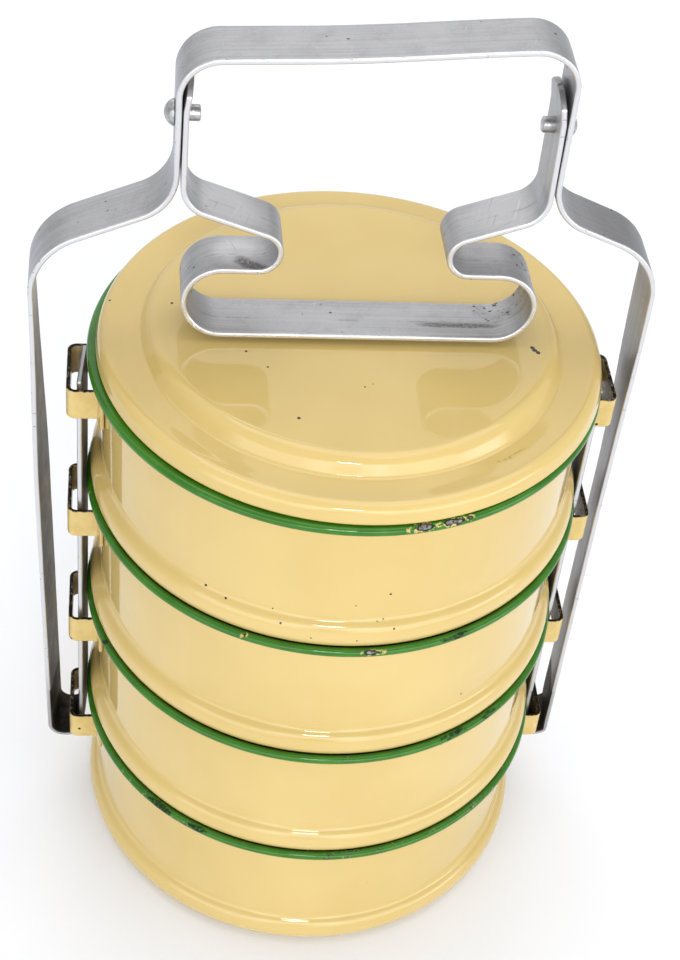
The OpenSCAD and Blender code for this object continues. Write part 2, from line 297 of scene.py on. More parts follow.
# ---------------------------------------------------------------- shader code
class Mat:
    def __init__(self, name):
        self.m = bpy.data.materials.new(name)
        self.m.use_nodes = True
        self.t = self.m.node_tree
        self.t.nodes.clear()
        self.out = self.t.nodes.new("ShaderNodeOutputMaterial")
        self.bsdf = self.t.nodes.new("ShaderNodeBsdfPrincipled")
        self.t.links.new(self.bsdf.outputs[0], self.out.inputs[0])
        tc = self.t.nodes.new("ShaderNodeTexCoord")
        self.p = self.vm("MULTIPLY", tc.outputs["Object"], (1000, 1000, 1000))   # mm

    def put(self, node, key, v):
        if isinstance(v, bpy.types.NodeSocket):
            self.t.links.new(v, node.inputs[key])
        else:
            node.inputs[key].default_value = v

    def ma(self, op, a, b=None, c=None, clamp=False):
        n = self.t.nodes.new("ShaderNodeMath")
        n.operation, n.use_clamp = op, clamp
        for i, v in enumerate((a, b, c)):
            if v is not None:
                self.put(n, i, v)
        return n.outputs[0]

    def vm(self, op, a, b=None):
        n = self.t.nodes.new("ShaderNodeVectorMath")
        n.operation = op
        self.put(n, 0, a)
        if b is not None:
            self.put(n, 1, b)
        return n.outputs["Value"] if op in ("DISTANCE", "LENGTH", "DOT_PRODUCT") else n.outputs["Vector"]

    def att(self, name):
        n = self.t.nodes.new("ShaderNodeAttribute")
        n.attribute_type, n.attribute_name = "GEOMETRY", name
        return n.outputs["Fac"]

    def xyz(self, v):
        n = self.t.nodes.new("ShaderNodeSeparateXYZ")
        self.put(n, 0, v)
        return n.outputs

    def vec(self, x, y, z):
        n = self.t.nodes.new("ShaderNodeCombineXYZ")
        for i, v in enumerate((x, y, z)):
            self.put(n, i, v)
        return n.outputs[0]

    def noise(self, v, scale, detail=3.0, rough=0.55, dist=0.0):
        n = self.t.nodes.new("ShaderNodeTexNoise")
        self.put(n, "Vector", v)
        self.put(n, "Scale", scale)
        self.put(n, "Detail", detail)
        self.put(n, "Roughness", rough)
        self.put(n, "Distortion", dist)
        return n.outputs["Fac"]

    def voro(self, v, scale, rand=1.0):
        n = self.t.nodes.new("ShaderNodeTexVoronoi")
        self.put(n, "Vector", v)
        self.put(n, "Scale", scale)
        self.put(n, "Randomness", rand)
        return n.outputs["Distance"], n.outputs["Color"]

    def mr(self, v, a, b, lo=0.0, hi=1.0, smooth=True):
        n = self.t.nodes.new("ShaderNodeMapRange")
        n.interpolation_type = "SMOOTHSTEP" if smooth else "LINEAR"
        n.clamp = True
        self.put(n, "Value", v)
        self.put(n, "From Min", a)
        self.put(n, "From Max", b)
        self.put(n, "To Min", lo)
        self.put(n, "To Max", hi)
        return n.outputs["Result"]

    def mix(self, f, a, b):
        n = self.t.nodes.new("ShaderNodeMix")
        n.data_type = "RGBA"
        self.put(n, 0, f)
        for i, v in ((6, a), (7, b)):
            self.put(n, i, (*v, 1.0) if isinstance(v, tuple) and len(v) == 3 else v)
        return n.outputs[2]

    def mixf(self, f, a, b):
        n = self.t.nodes.new("ShaderNodeMix")
        n.data_type = "FLOAT"
        self.put(n, 0, f)
        self.put(n, 2, a)
        self.put(n, 3, b)
        return n.outputs[0]

    def bump(self, h, dist, strength=1.0, normal=None):
        n = self.t.nodes.new("ShaderNodeBump")
        self.put(n, "Height", h)
        self.put(n, "Distance", dist)
        self.put(n, "Strength", strength)
        if normal is not None:
            self.put(n, "Normal", normal)
        return n.outputs[0]

    def spots(self, v, centres):
        """Largest of soft blobs at (x, y, z, radius), in mm, with ragged edges."""
        rag = self.noise(v, 0.55, 3.0, 0.6)
        res = None
        for x, y, z, r in centres:
            d = self.vm("DISTANCE", v, (x, y, z))
            d = self.ma("ADD", d, self.ma("MULTIPLY", self.ma("SUBTRACT", rag, 0.5), r * 1.3))
            b = self.mr(d, r * 1.08, r * 0.88)
            res = b if res is None else self.ma("MAXIMUM", res, b)
        return res

    def field(self, v, centres, rag):
        """Distance in mm to the nearest of the blobs at (x, y, z, radius, ratio), less
        ragged noise; a blob is drawn out along the rim by its ratio."""
        res = None
        for x, y, z, r, ratio in centres:
            q = self.vm("SUBTRACT", v, (x, y, z))
            n = math.hypot(x, y)
            al = self.vm("DOT_PRODUCT", q, (-y / n, x / n, 0.0))
            out = self.vm("DOT_PRODUCT", q, (x / n, y / n, 0.0))
            d = self.vm("LENGTH", self.vec(self.ma("MULTIPLY", al, 1.0 / ratio), out, self.vm("DOT_PRODUCT", q, (0.0, 0.0, 1.0))))
            d = self.ma("SUBTRACT", d, r)
            res = d if res is None else self.ma("MINIMUM", res, d)
        n1 = self.ma("MULTIPLY", self.ma("SUBTRACT", self.noise(v, 0.42, 2.0, 0.5), 0.5), rag * 2.4)
        n2 = self.ma("MULTIPLY", self.ma("SUBTRACT", self.noise(v, 1.6, 3.0, 0.6), 0.5), rag)
        return self.ma("ADD", res, self.ma("ADD", n1, n2))

    def soft(self, v, centres):
        """Largest of blobs at (x, y, z, radius), in mm, that fade out slowly."""
        res = None
        for x, y, z, r in centres:
            b = self.mr(self.vm("DISTANCE", v, (x, y, z)), r * 1.25, r * 0.45)
            res = b if res is None else self.ma("MAXIMUM", res, b)
        return res

    def surf(self, color, rough, normal=None, metal=0.0, spec=0.5):
        self.put(self.bsdf, "Base Color", color)
        self.put(self.bsdf, "Roughness", rough)
        self.put(self.bsdf, "Metallic", metal)
        self.put(self.bsdf, "Specular IOR Level", spec)
        if normal is not None:
            self.put(self.bsdf, "Normal", normal)
        return self.m


CREAM = (0.610, 0.454, 0.168)
CREAM2 = (0.575, 0.421, 0.146)
GREEN = (0.024, 0.132, 0.004)


def enamel(name, chips=(), specks=(), rim_streaks=(), worn=0.0, scratches=()):
    """Cream vitreous enamel, green on the rolled rim where attribute rimd > 0."""
    m = Mat(name)
    p = m.p
    rimd = m.att("rimd")
    big = m.noise(p, 0.018, 2.0)
    mid = m.noise(p, 0.09, 4.0, 0.6)
    fine = m.noise(p, 0.9, 3.0)
    cream = m.mix(m.mr(big, 0.35, 0.68), CREAM, CREAM2)
    cream = m.mix(m.mr(mid, 0.5, 0.8, 0.0, 0.22), cream, (0.63, 0.478, 0.193))
    # tiny pinholes in the glaze
    d, c = m.voro(p, 0.055)
    pick = m.mr(m.xyz(c)[0], 0.72, 0.74)
    pin = m.ma("MULTIPLY", m.mr(d, 0.024, 0.018), pick)
    # amber thin glaze where it runs off the edge beside the rim
    thin = m.ma("MULTIPLY", m.mr(rimd, -1.6, -0.1), m.mr(rimd, 0.3, 0.0))
    cream = m.mix(m.ma("MULTIPLY", thin, m.mr(mid, 0.3, 0.7, 0.15, 0.6)), cream, (0.30, 0.19, 0.045))
    wob = m.ma("ADD", rimd, m.ma("MULTIPLY", m.ma("SUBTRACT", mid, 0.5), 0.8))
    green_m = m.mr(wob, -0.12, 0.12)
    gvar = m.mix(m.mr(mid, 0.35, 0.7), GREEN, (0.036, 0.172, 0.008))
    gvar = m.mix(m.mr(fine, 0.62, 0.74, 0.0, 0.5), gvar, (0.006, 0.070, 0.004))
    col = m.mix(green_m, cream, gvar)
    rough = m.ma("ADD", m.mr(mid, 0.3, 0.75, 0.035, 0.075), m.mr(fine, 0.5, 0.8, 0.0, 0.03))
    spec = m.mixf(green_m, 0.58, 0.42)
    hole = pin
    if specks:
        hole = m.ma("MAXIMUM", hole, m.spots(p, specks))
    col = m.mix(hole, col, (0.016, 0.011, 0.008))
    height = m.ma("ADD", m.ma("MULTIPLY", big, 1.0), m.ma("MULTIPLY", mid, 0.10))
    if worn > 0:
        # speckled wear along the rim
        w1 = m.noise(p, 0.42, 5.0, 0.7)
        ang = m.noise(p, 0.03, 1.0)
        wm = m.ma("MULTIPLY", m.mr(w1, 0.66 - 0.10 * worn, 0.70 - 0.10 * worn), green_m)
        wm = m.ma("MULTIPLY", wm, m.mr(ang, 0.42, 0.6))
        col = m.mix(wm, col, m.mix(m.mr(fine, 0.45, 0.55), (0.010, 0.022, 0.008), (0.16, 0.22, 0.10)))
        rough = m.mixf(wm, rough, 0.5)
    if rim_streaks:
        # dark green streaks along the rim
        s = m.mr(m.field(p, rim_streaks, 0.9), 0.12, -0.12)
        s = m.ma("MULTIPLY", s, m.mr(m.noise(p, 1.1, 4.0, 0.7), 0.40, 0.52))
        col = m.mix(s, col, (0.008, 0.020, 0.008))
        rough = m.mixf(s, rough, 0.5)
        spec = m.mixf(s, spec, 0.16)
    if chips:
        far = m.field(p, chips, 0.8)
        halo, outer, inner = m.mr(far, 0.70, 0.50), m.mr(far, 0.08, -0.08), m.mr(far, -0.34, -0.50)
        n1 = m.noise(p, 0.8, 4.0, 0.65)
        # cream flakes left round the chip, a dark broken edge, grey steel in the middle
        col = m.mix(m.ma("MULTIPLY", halo, m.mr(n1, 0.50, 0.56)), col, (0.50, 0.40, 0.13))
        col = m.mix(outer, col, m.mix(m.mr(n1, 0.45, 0.60), (0.008, 0.006, 0.005), (0.035, 0.026, 0.018)))
        col = m.mix(m.ma("MULTIPLY", inner, m.mr(n1, 0.36, 0.48)), col, m.mix(m.mr(fine, 0.40, 0.60), (0.12, 0.118, 0.115), (0.27, 0.268, 0.262)))
        rough = m.mixf(outer, rough, 0.45)
        spec = m.mixf(outer, spec, 0.25)
        height = m.ma("SUBTRACT", height, m.ma("MULTIPLY", outer, 0.5))
    if scratches:
        s = None
        for (x, y, z), (dx, dy), ln, wd in scratches:
            q = m.vm("SUBTRACT", p, (x, y, z))
            along = m.ma("ABSOLUTE", m.vm("DOT_PRODUCT", q, (dx, dy, 0.0)))
            across = m.ma("ABSOLUTE", m.vm("DOT_PRODUCT", q, (-dy, dx, 0.0)))
            k = m.ma("MULTIPLY", m.mr(along, ln, ln * 0.8), m.mr(across, wd, wd * 0.5))
            s = k if s is None else m.ma("MAXIMUM", s, k)
        s = m.ma("MULTIPLY", s, m.mr(m.noise(p, 0.7, 3.0), 0.35, 0.6))
        col = m.mix(m.ma("MULTIPLY", s, 0.55), col, (0.30, 0.20, 0.07))
    nrm = m.bump(height, 0.0009, 0.16)
    return m.surf(col, rough, nrm, spec=spec)


def lug_enamel(name, seed):
    """Cream enamel painted brown inside as painted shade, and chipped black along its edges."""
    m = Mat(name)
    p = m.vm("ADD", m.p, (seed * 37.0, seed * 11.0, seed * 23.0))
    v, side, u = m.att("v"), m.att("side"), m.att("u")
    edge = m.ma("SUBTRACT", lug_h / 2, m.ma("ABSOLUTE", v))
    mid = m.noise(p, 0.16, 4.0, 0.6)
    fine = m.noise(p, 0.75, 4.0, 0.65)
    col = m.mix(m.mr(mid, 0.35, 0.65), (0.62, 0.468, 0.176), (0.555, 0.405, 0.135))
    inside = m.mr(side, 0.3, -0.5)
    # the inner faces are painted brown as painted shade inside the loop
    inside_shade_colour = m.mix(m.mr(mid, 0.35, 0.7), (0.36, 0.245, 0.10), (0.54, 0.40, 0.175))
    col = m.mix(inside, col, inside_shade_colour)
    rag = m.ma("ADD", edge, m.ma("MULTIPLY", m.ma("SUBTRACT", fine, 0.5), 1.1))
    # the black border is wide inside and thin on the outer face
    black = m.mr(m.ma("SUBTRACT", rag, m.mixf(inside, 0.16, 0.24)), 0.12, -0.12)
    col = m.mix(black, col, (0.010, 0.008, 0.006))
    bare = m.ma("MULTIPLY", m.mr(rag, 0.10, -0.05), m.mr(m.noise(p, 0.5, 2.0), 0.56, 0.64))
    col = m.mix(bare, col, (0.17, 0.16, 0.15))
    d, c = m.voro(p, 0.22)
    pin = m.ma("MULTIPLY", m.mr(d, 0.14, 0.10), m.mr(m.xyz(c)[1], 0.66, 0.7))
    col = m.mix(pin, col, (0.02, 0.014, 0.01))
    rough = m.mixf(black, m.mr(mid, 0.3, 0.7, 0.14, 0.28), 0.62)
    nrm = m.bump(m.ma("ADD", m.ma("MULTIPLY", mid, 0.6), m.ma("MULTIPLY", fine, 0.2)), 0.0006, 0.4)
    return m.surf(col, rough, nrm, spec=m.mixf(black, 0.5, 0.10))


def aluminium(name, soot=False, pits=(), smears=(), rubs=(), shade_patches=(), tone=1.0, dark_line=False, shade_strength=0.62):
    """Rolled aluminium strip: a soft grain, dull mottling, fine scratches every way,
    dark pits and smears, rubbed places, bright edges with nicks, darker patches of
    painted shade."""
    m = Mat(name)
    p = m.p
    u, v, side = m.att("u"), m.att("v"), m.att("side")
    x, _, z = m.xyz(p)
    long1 = m.noise(m.vec(m.ma("MULTIPLY", u, 0.014), m.ma("MULTIPLY", v, 0.9), m.ma("MULTIPLY", side, 9.0)), 1.0, 4.0, 0.6)
    long2 = m.noise(m.vec(m.ma("MULTIPLY", u, 0.05), m.ma("MULTIPLY", v, 5.0), m.ma("ADD", m.ma("MULTIPLY", side, 9.0), 31.0)), 1.0, 3.0, 0.6)
    cloud = m.noise(p, 0.035, 5.0, 0.62)
    blot = m.noise(p, 0.13, 5.0, 0.65)
    grain = m.noise(p, 1.3, 4.0, 0.7)

    def grey(q):
        return (q * tone, q * tone, q * tone * 1.025)

    base = m.mix(m.mr(long1, 0.30, 0.70, smooth=False), grey(0.375), grey(0.455))
    base = m.mix(m.mr(blot, 0.44, 0.70, 0.0, 0.40), base, grey(0.30))
    base = m.mix(m.mr(cloud, 0.46, 0.72, 0.0, 0.45), base, grey(0.53))
    base = m.mix(m.mr(grain, 0.52, 0.76, 0.0, 0.32), base, grey(0.60))
    base = m.mix(m.mr(grain, 0.44, 0.26, 0.0, 0.35), base, grey(0.25))
    base = m.mix(m.mr(long2, 0.60, 0.72, 0.0, 0.16), base, grey(0.62))
    base = m.mix(m.mr(long2, 0.37, 0.28, 0.0, 0.22), base, grey(0.24))
    # fine scratches in several directions, most of them in rubbed places
    rub = m.mr(blot, 0.50, 0.62, 0.10, 0.55)
    if rubs:
        bright = m.soft(p, rubs)
        base = m.mix(m.ma("MULTIPLY", bright, 0.60), base, grey(0.72))
        rub = m.ma("MAXIMUM", rub, bright)
    # darker patches of painted shade, where the strip faces away from the light
    if shade_patches:
        base = m.mix(m.ma("MULTIPLY", m.soft(p, shade_patches), shade_strength), base, grey(0.22))
    for ang, k in ((20.0, 3.0), (-38.0, 17.0), (72.0, 41.0)):
        ca, sa = math.cos(rad(ang)), math.sin(rad(ang))
        al = m.ma("ADD", m.ma("MULTIPLY", u, ca * 0.05), m.ma("MULTIPLY", v, sa * 0.05))
        ac = m.ma("SUBTRACT", m.ma("MULTIPLY", v, ca * 1.5), m.ma("MULTIPLY", u, sa * 1.5))
        sn = m.noise(m.vec(al, ac, m.ma("ADD", side, k)), 1.0, 2.0, 0.5)
        base = m.mix(m.ma("MULTIPLY", m.mr(sn, 0.66, 0.71, 0.0, 0.60), rub), base, (0.68, 0.68, 0.69))
        base = m.mix(m.ma("MULTIPLY", m.mr(sn, 0.33, 0.29, 0.0, 0.40), rub), base, (0.17, 0.17, 0.175))
    if dark_line:
        ln = m.ma("ABSOLUTE", m.ma("ADD", m.ma("ADD", v, 1.2), m.ma("MULTIPLY", m.ma("SUBTRACT", m.noise(m.vec(m.ma("MULTIPLY", u, 0.05), 0.0, 0.0), 1.0, 2.0), 0.5), 1.6)))
        lm = m.ma("MULTIPLY", m.mr(ln, 0.55, 0.15), m.mr(blot, 0.40, 0.62, 0.0, 0.40))
        base = m.mix(lm, base, (0.17, 0.165, 0.16))
    # grime spots
    d, c = m.voro(p, 0.35)
    grime = m.ma("MULTIPLY", m.mr(d, 0.20, 0.12), m.ma("MULTIPLY", m.mr(m.xyz(c)[0], 0.74, 0.76), m.mr(cloud, 0.46, 0.60)))
    if pits:
        area = m.spots(p, pits)
        pn = m.noise(p, 0.75, 3.0, 0.6)
        grime = m.ma("MAXIMUM", grime, m.ma("MULTIPLY", area, m.mr(pn, 0.60, 0.63)))
        base = m.mix(m.ma("MULTIPLY", area, m.mr(blot, 0.3, 0.7, 0.05, 0.35)), base, (0.20, 0.195, 0.19))
    for (cx, cy, cz), ax, ln, wd in smears:
        q = m.vm("SUBTRACT", p, (cx, cy, cz))
        al = m.vm("DOT_PRODUCT", q, ax)
        ac = m.vm("LENGTH", m.vm("CROSS_PRODUCT", q, ax))
        ac = m.ma("ADD", ac, m.ma("MULTIPLY", m.ma("SUBTRACT", blot, 0.5), wd * 1.6))
        k = m.ma("MULTIPLY", m.mr(m.ma("ABSOLUTE", al), ln, ln * 0.55), m.mr(ac, wd, wd * 0.35))
        k = m.ma("MULTIPLY", k, m.mr(grain, 0.34, 0.56, 0.25, 0.80))
        base = m.mix(k, base, (0.085, 0.080, 0.075))
    base = m.mix(m.ma("MULTIPLY", grime, 0.88), base, (0.025, 0.023, 0.022))
    rough = m.mr(long1, 0.3, 0.7, 0.50, 0.40, smooth=False)
    rough = m.ma("ADD", rough, m.mr(cloud, 0.4, 0.75, 0.0, 0.08))
    # rubbed edges, lighter and smoother, their lightening fading out lower down as painted shade; dull where the strip
    # is sooty
    edge = m.ma("SUBTRACT", strip_w / 2, m.ma("ABSOLUTE", v))
    nick = m.noise(m.vec(m.ma("MULTIPLY", u, 0.55), m.ma("MULTIPLY", v, 0.6), side), 1.0, 4.0, 0.7)
    em = m.mr(m.ma("ADD", edge, m.ma("MULTIPLY", m.ma("SUBTRACT", nick, 0.5), 0.5)), 0.62, 0.25)
    # edges painted less light lower down, as painted shade
    lit = m.mr(z, 46.0, 70.0, 0.25, 1.0)
    base = m.mix(m.ma("MULTIPLY", em, lit), base, (0.68, 0.68, 0.69))
    nk = m.ma("MULTIPLY", em, m.mr(nick, 0.64, 0.70))
    base = m.mix(nk, base, (0.16, 0.16, 0.16))
    rough = m.mixf(em, rough, 0.33)
    if soot:
        inner, outer = m.mr(side, -0.45, -0.95), m.mr(side, 0.45, 0.95)
        low = m.mr(z, 236.0, 214.0)
        # darker grey on the left leg's inner face, and painted shade on the posts' faces beside the bowls
        darker_inner_faces = m.ma("MULTIPLY", inner, m.mr(x, -70.0, -84.0))
        post_face_shade = m.ma("MULTIPLY", outer, m.mr(m.ma("ABSOLUTE", x), 84.6, 83.4))
        darker_inner_faces, post_face_shade = m.ma("MULTIPLY", darker_inner_faces, low), m.ma("MULTIPLY", post_face_shade, low)
        base = m.mix(m.ma("MULTIPLY", darker_inner_faces, 0.86), base, m.mix(m.mr(blot, 0.35, 0.7), (0.20, 0.195, 0.20), (0.33, 0.325, 0.335)))
        # painted shade on the posts' faces in the gap beside the bowls
        base = m.mix(m.ma("MULTIPLY", post_face_shade, 0.86), base, m.mix(m.mr(blot, 0.35, 0.7), (0.13, 0.125, 0.125), (0.22, 0.215, 0.215)))
        darker_inner_faces = m.ma("MAXIMUM", darker_inner_faces, post_face_shade)
        # blackened inside of the hairpins, with a sharp upper edge
        sm = m.mr(m.ma("ADD", z, m.ma("MULTIPLY", m.ma("SUBTRACT", blot, 0.5), 5.0)), 56.5, 55.0)
        sm = m.ma("MULTIPLY", sm, m.mr(side, 0.10, -0.35))
        sm = m.ma("MULTIPLY", sm, m.mr(nick, 0.62, 0.74, 1.0, 0.6))
        base = m.mix(m.ma("MULTIPLY", sm, 0.95), base, m.mix(m.mr(blot, 0.4, 0.65), (0.016, 0.014, 0.013), (0.085, 0.075, 0.068)))
        rough = m.mixf(m.ma("MAXIMUM", sm, darker_inner_faces), rough, 0.6)
    height = m.ma("ADD", m.ma("MULTIPLY", long2, 0.35), m.ma("MULTIPLY", long1, 0.35))
    height = m.ma("ADD", height, m.ma("MULTIPLY", grain, 0.35))
    height = m.ma("SUBTRACT", height, m.ma("MULTIPLY", nk, 1.2))
    height = m.ma("SUBTRACT", height, m.ma("MULTIPLY", grime, 0.4))
    nrm = m.bump(height, 0.00012, 0.55)
    nrm = m.bump(blot, 0.0006, 0.18, nrm)
    return m.surf(base, rough, nrm, metal=0.92)


def rivet_metal(name):
    m = Mat(name)
    p = m.p
    n1 = m.noise(p, 0.7, 4.0, 0.6)
    n2 = m.noise(p, 2.5, 3.0, 0.6)
    base = m.mix(m.mr(n1, 0.35, 0.7), (0.52, 0.52, 0.525), (0.32, 0.32, 0.325))
    base = m.mix(m.mr(n2, 0.60, 0.68, 0.0, 0.7), base, (0.14, 0.135, 0.13))
    rough = m.mr(n1, 0.3, 0.7, 0.28, 0.42)
    nrm = m.bump(m.ma("ADD", n1, m.ma("MULTIPLY", n2, 0.4)), 0.0003, 0.5)
    return m.surf(base, rough, nrm, metal=0.92)


# ---------------------------------------------------------------- bowls
def bowl_profile(roll):
    bend = out_bend + in_bend
    a = math.degrees(math.acos(1 - (bulge_r - wall_r) / bend))
    c_low = (bulge_r - corner_r, corner_r)
    c_out = (bulge_r - out_bend, bulge_top)
    c_in = (c_out[0] + bend * math.cos(rad(a)), c_out[1] + bend * math.sin(rad(a)))
    m_r = wall_r + 0.4
    z_r = bead_z - 3.2
    out = [(0, 0)] + [(r, 0) for r in (25, 50, 65, 70)] + arc(c_low, corner_r, -90, 0, 4)
    out += arc(c_out, out_bend, 0, a, 3) + arc(c_in, in_bend, 180 + a, 180, 3)
    z0 = c_in[1]
    out += [(wall_r + 0.4 * (z - z0) / (z_r - z0), z) for z in np.linspace(z0, z_r, 14)[1:]]
    # flare under the rim, then round the rolled edge
    out += [(m_r + 0.12, bead_z - 2.6), (m_r + 0.5, bead_z - 1.95), (m_r + 1.05, bead_z - 1.4)]
    bead = arc((bead_c, bead_z), bead_r, 222, 450, 9) + [q for q in arc((bead_c - roll, bead_z), bead_r, 90, 162, 9)[0 if roll > 0 else 1:]]
    s0 = len(out)
    out += bead
    s1 = len(out)
    out += [(m_r - sheet_t + 1.45 - 0.75 * roll, bead_z + 0.0 - 0.2 * roll), (m_r - sheet_t + 0.62 - 0.2 * roll, bead_z - 1.35), (m_r - sheet_t + 0.12, bead_z - 2.3),
            (m_r - sheet_t, bead_z - 3.2)]
    out += [(wall_r - sheet_t + 0.4 * (z - z0) / (z_r - z0), z) for z in np.linspace(z_r, z0, 8)[1:]]
    out += arc(c_in, in_bend + sheet_t, 180, 180 + a, 6) + arc(c_out, out_bend - sheet_t, a, 0, 6)
    out += arc(c_low, corner_r - sheet_t, 0, -90, 6) + [(65, sheet_t), (40, sheet_t), (0, sheet_t)]
    # distance along the profile into the green rim
    s, acc = [0.0], 0.0
    for p, q in zip(out[:-1], out[1:]):
        acc += math.hypot(q[0] - p[0], q[1] - p[1])
        s.append(acc)
    a0, a1 = s[s0] - 0.1, s[s1 - 1] + 1.2
    res, last = [], None
    for (r, z), t in zip(out, s):
        if last and math.hypot(r - last[0], z - last[1]) < 1e-4:
            continue
        res.append((r, z, max(-6.0, min(t - a0, a1 - t))))
        last = (r, z)
    return res


rim4 = 3 * pitch + bead_z
enamel_mats = {
    4: enamel("enamel_top",
              chips=[(16.2, -78.3, rim4 + 1.0, 1.15, 2.8), (20.4, -77.5, rim4 + 1.1, 0.45, 2.0), (25.2, -76.0, rim4 + 1.1, 1.0, 2.6), (30.2, -74.2, rim4 + 1.2, 0.35, 2.0)],
              specks=[(-43.7, -62.6, 167.0, 0.45), (-37.8, -67.1, 166.1, 0.4), (10.2, -75.5, 177.1, 0.42), (-21.7, -75.6, 164.4, 0.4), (-24.1, -72.4, 167.3, 0.28),
                      (0.2, -76.1, 172.6, 0.25), (7.1, -76.5, 166.4, 0.25), (8.9, -76.0, 166.8, 0.28), (12.3, -77.7, 164.3, 0.32), (-12.5, -78.4, 160.9, 0.28),
                      (1.3, -79.4, 160.7, 0.28)],
              worn=0.0),
    3: enamel("enamel_upper", chips=[(6.6, -79.8, 2 * pitch + bead_z + 0.8, 0.62, 3.6), (-32.0, -73.2, 2 * pitch + bead_z + 0.8, 0.35, 1.5)],
              rim_streaks=[(33.8, -72.8, 156.2, 0.8, 6.0)],
              specks=[(40.2, -64.7, 119.2, 0.35)], worn=0.25),
    2: enamel("enamel_lower", rim_streaks=[(40.0, -69.2, 104.9, 0.9, 6.5), (52.0, -60.6, 104.9, 0.7, 5.0), (-74.0, -30.0, 105.0, 0.7, 2.0)], worn=0.3),
    1: enamel("enamel_bottom", rim_streaks=[(-55.0, -58.2, 53.4, 1.2, 4.5), (-42.5, -67.8, 53.3, 0.9, 4.0), (-52.5, -60.5, 52.4, 0.7, 4.0)], worn=1.0),
}
for k in range(4):
    v, f, at = lathe(bowl_profile(1.2 if k == 3 else 0.0), 288, dz=k * pitch, seed=k + 1.0, amp=0.02, extra={"rimd": lambda p: p[2]})
    body = "carrier" if k == 0 else "tier_%d" % (k + 1)
    make("enamel_bowl_%d" % (k + 1), v, f, at, body, ["bowl_%d" % (k + 1)], enamel_mats[k + 1])

# ---------------------------------------------------------------- lid
crest, foot = 5.0, 1.5
face = (panel_z - brim_z - (crest + foot) * (1 - math.cos(rad(step_a)))) / math.sin(rad(step_a))
c_crest = (panel_r, panel_z - crest)
c_foot = (panel_r + (crest + foot) * math.sin(rad(step_a)) + face * math.cos(rad(step_a)), brim_z + foot)
c_lip = (lip_r - lip_round, lip_z - lip_round)
c_hem = (lip_r - 0.6, 4.3)
trough = c_lip[0] - 4
brim = [(trough - 2.0, brim_z), (trough - 0.9, brim_z + 0.005), (trough, brim_z + 0.04), (trough + 0.9, brim_z + 0.105), (trough + 2.0, brim_z + 0.215)]
lp = [(0, panel_z)] + [(r, panel_z) for r in (15, 30, 45, 52, 56, 58.4)]
lp += arc(c_crest, crest, 90, 90 - step_a, 3)
a0, b0 = lp[-1], arc(c_foot, foot, 270 - step_a, 270, 5)[0]
lp += [(a0[0] + (b0[0] - a0[0]) * q, a0[1] + (b0[1] - a0[1]) * q) for q in (0.33, 0.67)]
lp += arc(c_foot, foot, 270 - step_a, 270, 5)
lp += brim + arc(c_lip, lip_round, 96, 0, 4)
lp += arc((c_hem[0], c_hem[1] - 0.3), hem_r, 15, -195, 12)
lp += arc(c_lip, lip_round - lid_t, 0, 96, 6) + [(r, z - lid_t) for r, z in reversed(brim)]
lp += arc(c_foot, foot + lid_t, 270, 270 - step_a, 6)
lp += arc(c_crest, crest - lid_t, 90 - step_a, 90, 6) + [(45, panel_z - lid_t), (20, panel_z - lid_t), (0, panel_z - lid_t)]
v, f, at = lathe([(r, z, -6.0) for r, z in lp], 288, dz=top_z, dx=lid_shift, seed=7.0, amp=0.02, extra={"rimd": lambda p: -6.0})
lid_mat = enamel("enamel_lid",
                 specks=[(-73.5, 13.9, 214.6, 0.45), (-54.5, 6.4, 219.9, 0.5), (-32.6, -16.1, 219.9, 0.45), (-26.4, -23.3, 219.9, 0.4),
                         (-48.4, -38.9, 219.9, 0.5), (-18.4, -46.0, 219.9, 0.5), (55.5, -11.7, 219.9, 0.75), (56.1, -12.8, 219.9, 0.75), (57.0, -14.1, 219.9, 0.7),
                         (2.1, -31.6, 219.9, 0.28), (4.6, -30.2, 219.9, 0.22)],
                 scratches=[((44.9, -54.0, 215.0), (0.80, 0.60), 5.0, 0.35), ((41.5, -56.7, 215.0), (0.92, 0.39), 3.0, 0.3)])
make("enamel_lid", v, f, at, "lid", ["lid"], lid_mat)

# ---------------------------------------------------------------- lugs
foot_r = wall_r + 0.45 + lug_t / 2
wing_y = lug_hw - lug_t / 2
foot_x = math.sqrt((foot_r + foot_bend) ** 2 - (wing_y + foot_bend) ** 2)
foot_a = math.degrees(math.atan2(wing_y + foot_bend, foot_x))
half = walk([(0, wing_y - lug_bend), (lug_bend, 90), (0, lug_x - lug_t / 2 - lug_bend - foot_x),
             (foot_bend, foot_a - 90), (foot_r, math.degrees(lug_foot / foot_r))],
            lug_x - lug_t / 2, 0, 90, step=8.0, run=1.5)
lug_path = [(x, -y, 180 - h) for x, y, h in reversed(half)] + half
for k in range(4):
    for s, nm in ((-1, "left"), (1, "right")):
        path = lug_path if s > 0 else [(-x, y, 180 - h) for x, y, h in lug_path]
        v, f, at = ribbon(path, lug_t, lug_h, 0.4, upright=k * pitch + lug_z)
        if s > 0:
            at["side"] = [-q for q in at["side"]]
        body = "carrier" if k == 0 else "tier_%d" % (k + 1)
        ob = make("lug_%d_%s_strip" % (k + 1, nm), v, f, at, body, ["lug_%d_%s" % (k + 1, nm)],
                  lug_enamel("lug_enamel_%d_%s" % (k + 1, nm), k * 2 + (s + 1) / 2 + 1))
        weighted(ob)

# ---------------------------------------------------------------- straps
path = other(side_path(shoulder_left, lean_left, -handle_tilt)) + side_path(shoulder_right, lean_right, handle_tilt)


def smooth(x, a, b):
    t = min(1.0, max(0.0, (x - a) / (b - a)))
    return t * t * (3 - 2 * t)


